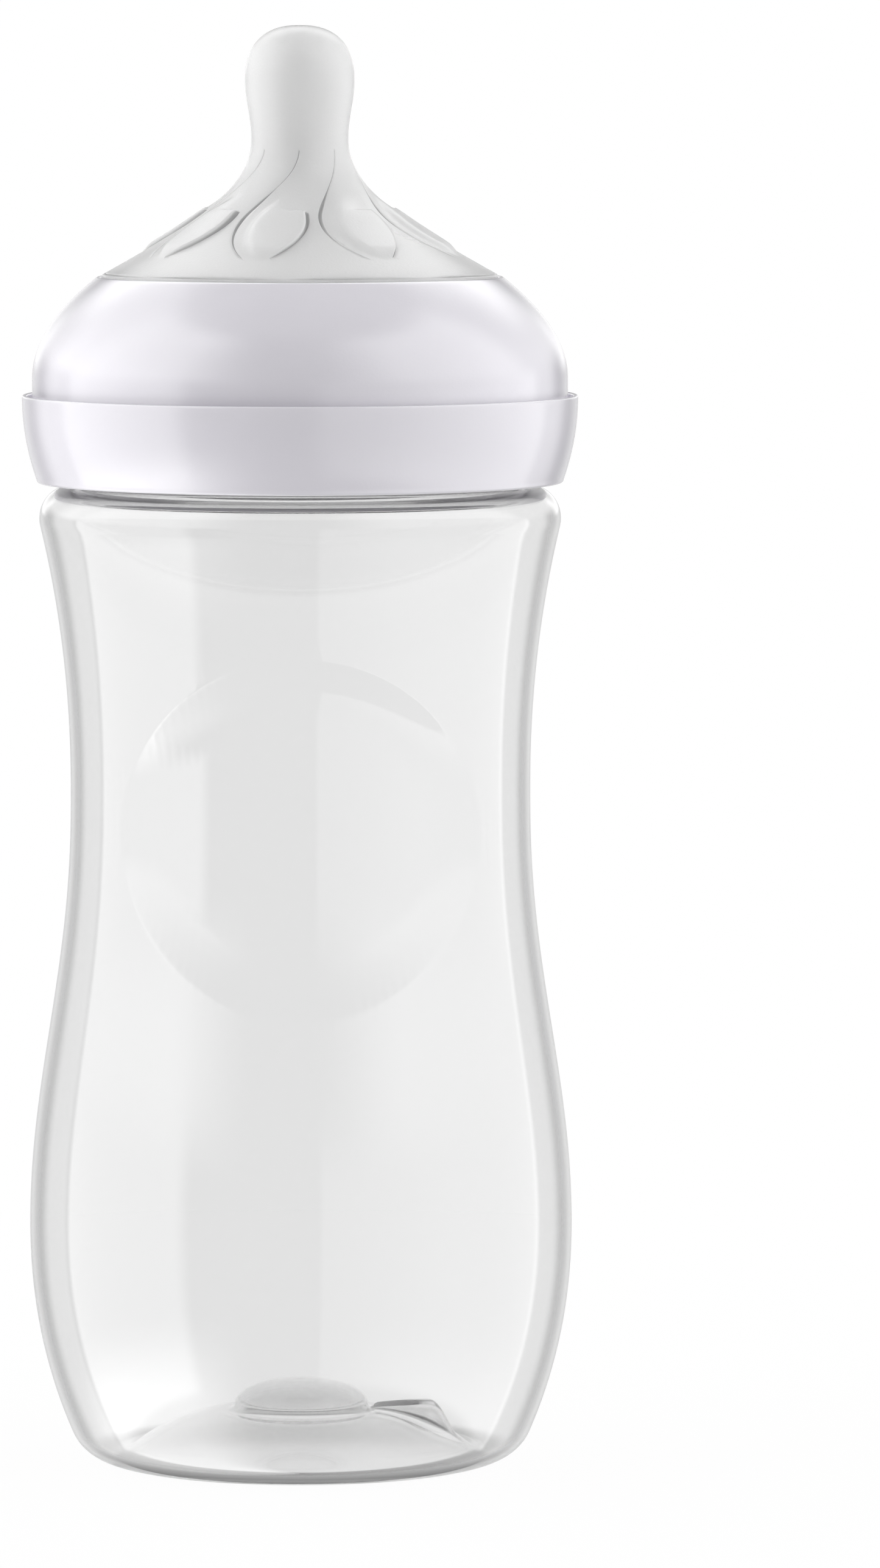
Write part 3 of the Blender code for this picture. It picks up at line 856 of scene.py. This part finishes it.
finished_piece("silicone_teat", teat_body(), silicone(), "teat")

# Studio
# The bottle stands on a pale floor in a white room. Soft panels light it from both sides, from behind,
# from above and from below, and the front is left darker. The camera looks slightly down.
CAMERA_DISTANCE = 1.230
CAMERA_HEIGHT = 0.1882
CAMERA_PITCH = math.radians(4.765)
CAMERA_YAW = math.radians(0.82)
CAMERA_LENS = 224.3
FLOOR_SIZE = 60.0
SHADOW_REACH = 0.25
SHADOW_WEIGHT = 0.03
AMBIENT = 0.08
FLOOR_GLOW = 0.05
LEFT_PANEL = 2.1
RIGHT_PANEL = 1.7
LEFT_BOUNCE = 2.4
RIGHT_BOUNCE = 0.5
FLANK_PANEL = 0.7
REAR_PANEL = 1.4
GRAZING_PANEL = 0.5
LEFT_REFLECTOR = 1.45
RIGHT_REFLECTOR = 1.35
TOP_PANEL = 0.3
SIDE_GLOW = 0.55
REAR_GLOW = 0.6
LIGHT_BOUNCES = 32
STEEP_WHITE = 0.85
PAINTED_CONTACT_SHADOW = 0.70
CONTACT_REACH = 0.006
HIGH_BAND = (0.02, 0.20, 0.80, 0.92)
RAISED_BAND = (0.35, 0.55, 0.80, 0.92)
LOW_BAND = (-0.60, -0.55, 0.02, 0.20)
GRAZING_BAND = (-0.02, 0.04, 0.18, 0.28)
BELOW_FADE = (-0.60, -0.30)
TOP_FADE = (0.86, 0.92)
STEEP_FADE = (0.35, 0.80)
LEFT_SPAN = (-146.0, -100.0, -66.0, -20.0)
RIGHT_SPAN = (4.0, 52.0, 100.0, 132.0)
LEFT_REFLECTOR_SPAN = (-119.0, -115.0, -56.0, -47.0)
RIGHT_REFLECTOR_SPAN = (7.0, 10.0, 119.0, 123.0)
RIGHT_REFLECTOR_RISE = 75.0
RIGHT_REFLECTOR_LEAST = 0.45
FLANK_SPAN = (115.0, 130.0, 155.0, 168.0)
GRAZING_SPAN = (150.0, 160.0, 172.0, 178.0)
SIDE_SPAN = (116.0, 122.0, 134.0, 145.0)
BEHIND_FADE = (125.0, 160.0)
REAR_FADE = (146.0, 164.0)
WHITE = (1.0, 1.0, 1.0, 1.0)
FLOOR_COLOUR = (0.85, 0.85, 0.85, 1.0)


def studio_camera():
    """Camera in front of the bottle, a little above its ring."""
    camera = bpy.data.cameras.new("camera")
    camera.lens = CAMERA_LENS
    viewer = bpy.data.objects.new("camera", camera)
    viewer.location = (0.0, -CAMERA_DISTANCE, CAMERA_HEIGHT)
    viewer.rotation_euler = (math.pi / 2 - CAMERA_PITCH, 0.0, -CAMERA_YAW)
    bpy.context.scene.collection.objects.link(viewer)
    bpy.context.scene.camera = viewer


def band(value, limits):
    """1 between the two middle limits, 0 outside the outer two, and a smooth change between them."""
    start, full, fade, end = limits
    return value.eased(start, full) * (1.0 - value.eased(fade, end))


def studio_world():
    """White room for the camera and for what is seen through the bottle, soft panels for the light."""
    world = bpy.data.worlds.new("studio")
    bpy.context.scene.world = world
    world.use_nodes = True
    world.node_tree.nodes.clear()
    start = Socket(world.node_tree)
    direction = start.node("ShaderNodeTexCoord", {}, {}, "Generated")
    across = start.node("ShaderNodeSeparateXYZ", {}, {"Vector": direction}, "X")
    along = start.node("ShaderNodeSeparateXYZ", {}, {"Vector": direction}, "Y")
    up = start.node("ShaderNodeSeparateXYZ", {}, {"Vector": direction}, "Z")
    angle = start.math("DEGREES", start.math("ARCTAN2", across, along * -1.0))
    turned_away = start.math("ABSOLUTE", angle)
    left = band(angle, LEFT_SPAN)
    right = band(angle, RIGHT_SPAN)
    flank = band(turned_away, FLANK_SPAN)
    behind = turned_away.eased(*BEHIND_FADE)
    grazing = band(turned_away, GRAZING_SPAN) * band(up, GRAZING_BAND)
    panels = band(up, HIGH_BAND) * (LEFT_PANEL * left + RIGHT_PANEL * right + FLANK_PANEL * flank)
    panels = panels + band(up, RAISED_BAND) * REAR_PANEL * behind + GRAZING_PANEL * grazing
    right_rise = (1.0 - RIGHT_REFLECTOR_LEAST) * angle.eased(0.0, RIGHT_REFLECTOR_RISE)
    right_edge = (RIGHT_REFLECTOR_LEAST + right_rise) * band(angle, RIGHT_REFLECTOR_SPAN)
    reflectors = LEFT_REFLECTOR * band(angle, LEFT_REFLECTOR_SPAN) + RIGHT_REFLECTOR * right_edge
    glows = SIDE_GLOW * band(turned_away, SIDE_SPAN) + REAR_GLOW * turned_away.eased(*REAR_FADE)
    below = 1.0 - up.eased(*BELOW_FADE)
    bounce = below * (FLOOR_GLOW + LEFT_BOUNCE * left + RIGHT_BOUNCE * right)
    top = TOP_PANEL * up.eased(*TOP_FADE)
    lit = AMBIENT + panels + band(up, LOW_BAND) * (reflectors + glows) + top + bounce
    seen = start.node("ShaderNodeLightPath", {}, {}, "Is Camera Ray")
    through = start.node("ShaderNodeLightPath", {}, {}, "Is Transmission Ray")
    steep = start.math("ABSOLUTE", up).eased(*STEEP_FADE)
    white = seen + through * (1.0 - (1.0 - STEEP_WHITE) * steep)
    strength = lit * (1.0 - seen) * (1.0 - through) + white
    background = start.node("ShaderNodeBackground", {}, {"Color": WHITE, "Strength": strength})
    start.node("ShaderNodeOutputWorld", {}, {"Surface": background})


def studio_floor():
    """Pale floor that the camera sees as white, with a faint shadow round the bottle and a painted shadow
    round its foot that shows only through the bottle.
    """
    bm = bmesh.new()
    bmesh.ops.create_grid(bm, x_segments=1, y_segments=1, size=FLOOR_SIZE / 2)
    mesh = bpy.data.meshes.new("floor")
    bm.to_mesh(mesh)
    bm.free()
    floor_object = bpy.data.objects.new("floor", mesh)
    bpy.context.scene.collection.objects.link(floor_object)
    material, start = blank_material("pale_floor")
    place = start.node("ShaderNodeTexCoord", {}, {}, "Object")
    reach = start.node("ShaderNodeVectorMath", {"operation": "LENGTH"}, {"Vector": place}, "Value")
    near = 1.0 - reach.eased(0.0, SHADOW_REACH)
    through = start.node("ShaderNodeLightPath", {}, {}, "Is Transmission Ray")
    # Painted shadow: for what is seen through the bottle, the floor's white glow dims in a ring round the
    # bottle's foot.
    inner = reach.eased(FLOOR_RADIUS - FOOT_WIDTH, FLOOR_RADIUS)
    painted_shadow_ring = inner * (1.0 - reach.eased(FOOT_RADIUS, FOOT_RADIUS + CONTACT_REACH))
    pale = start.node("ShaderNodeBsdfDiffuse", {}, {"Color": FLOOR_COLOUR})
    glow = 1.0 - PAINTED_CONTACT_SHADOW * painted_shadow_ring * through
    white = start.node("ShaderNodeEmission", {}, {"Color": WHITE, "Strength": glow})
    mix = {"Fac": near * SHADOW_WEIGHT, "Shader": white, "Shader_001": pale}
    surface = start.node("ShaderNodeMixShader", {}, mix)
    start.node("ShaderNodeOutputMaterial", {}, {"Surface": surface})
    mesh.materials.append(material)
    floor_object.visible_diffuse = False
    floor_object.visible_glossy = False
    floor_object.visible_shadow = False


studio_camera()
studio_world()
studio_floor()
bpy.context.scene.view_settings.view_transform = "Standard"
bpy.context.scene.cycles.max_bounces = LIGHT_BOUNCES
bpy.context.scene.cycles.diffuse_bounces = LIGHT_BOUNCES
bpy.context.scene.cycles.glossy_bounces = LIGHT_BOUNCES
bpy.context.scene.cycles.transmission_bounces = LIGHT_BOUNCES
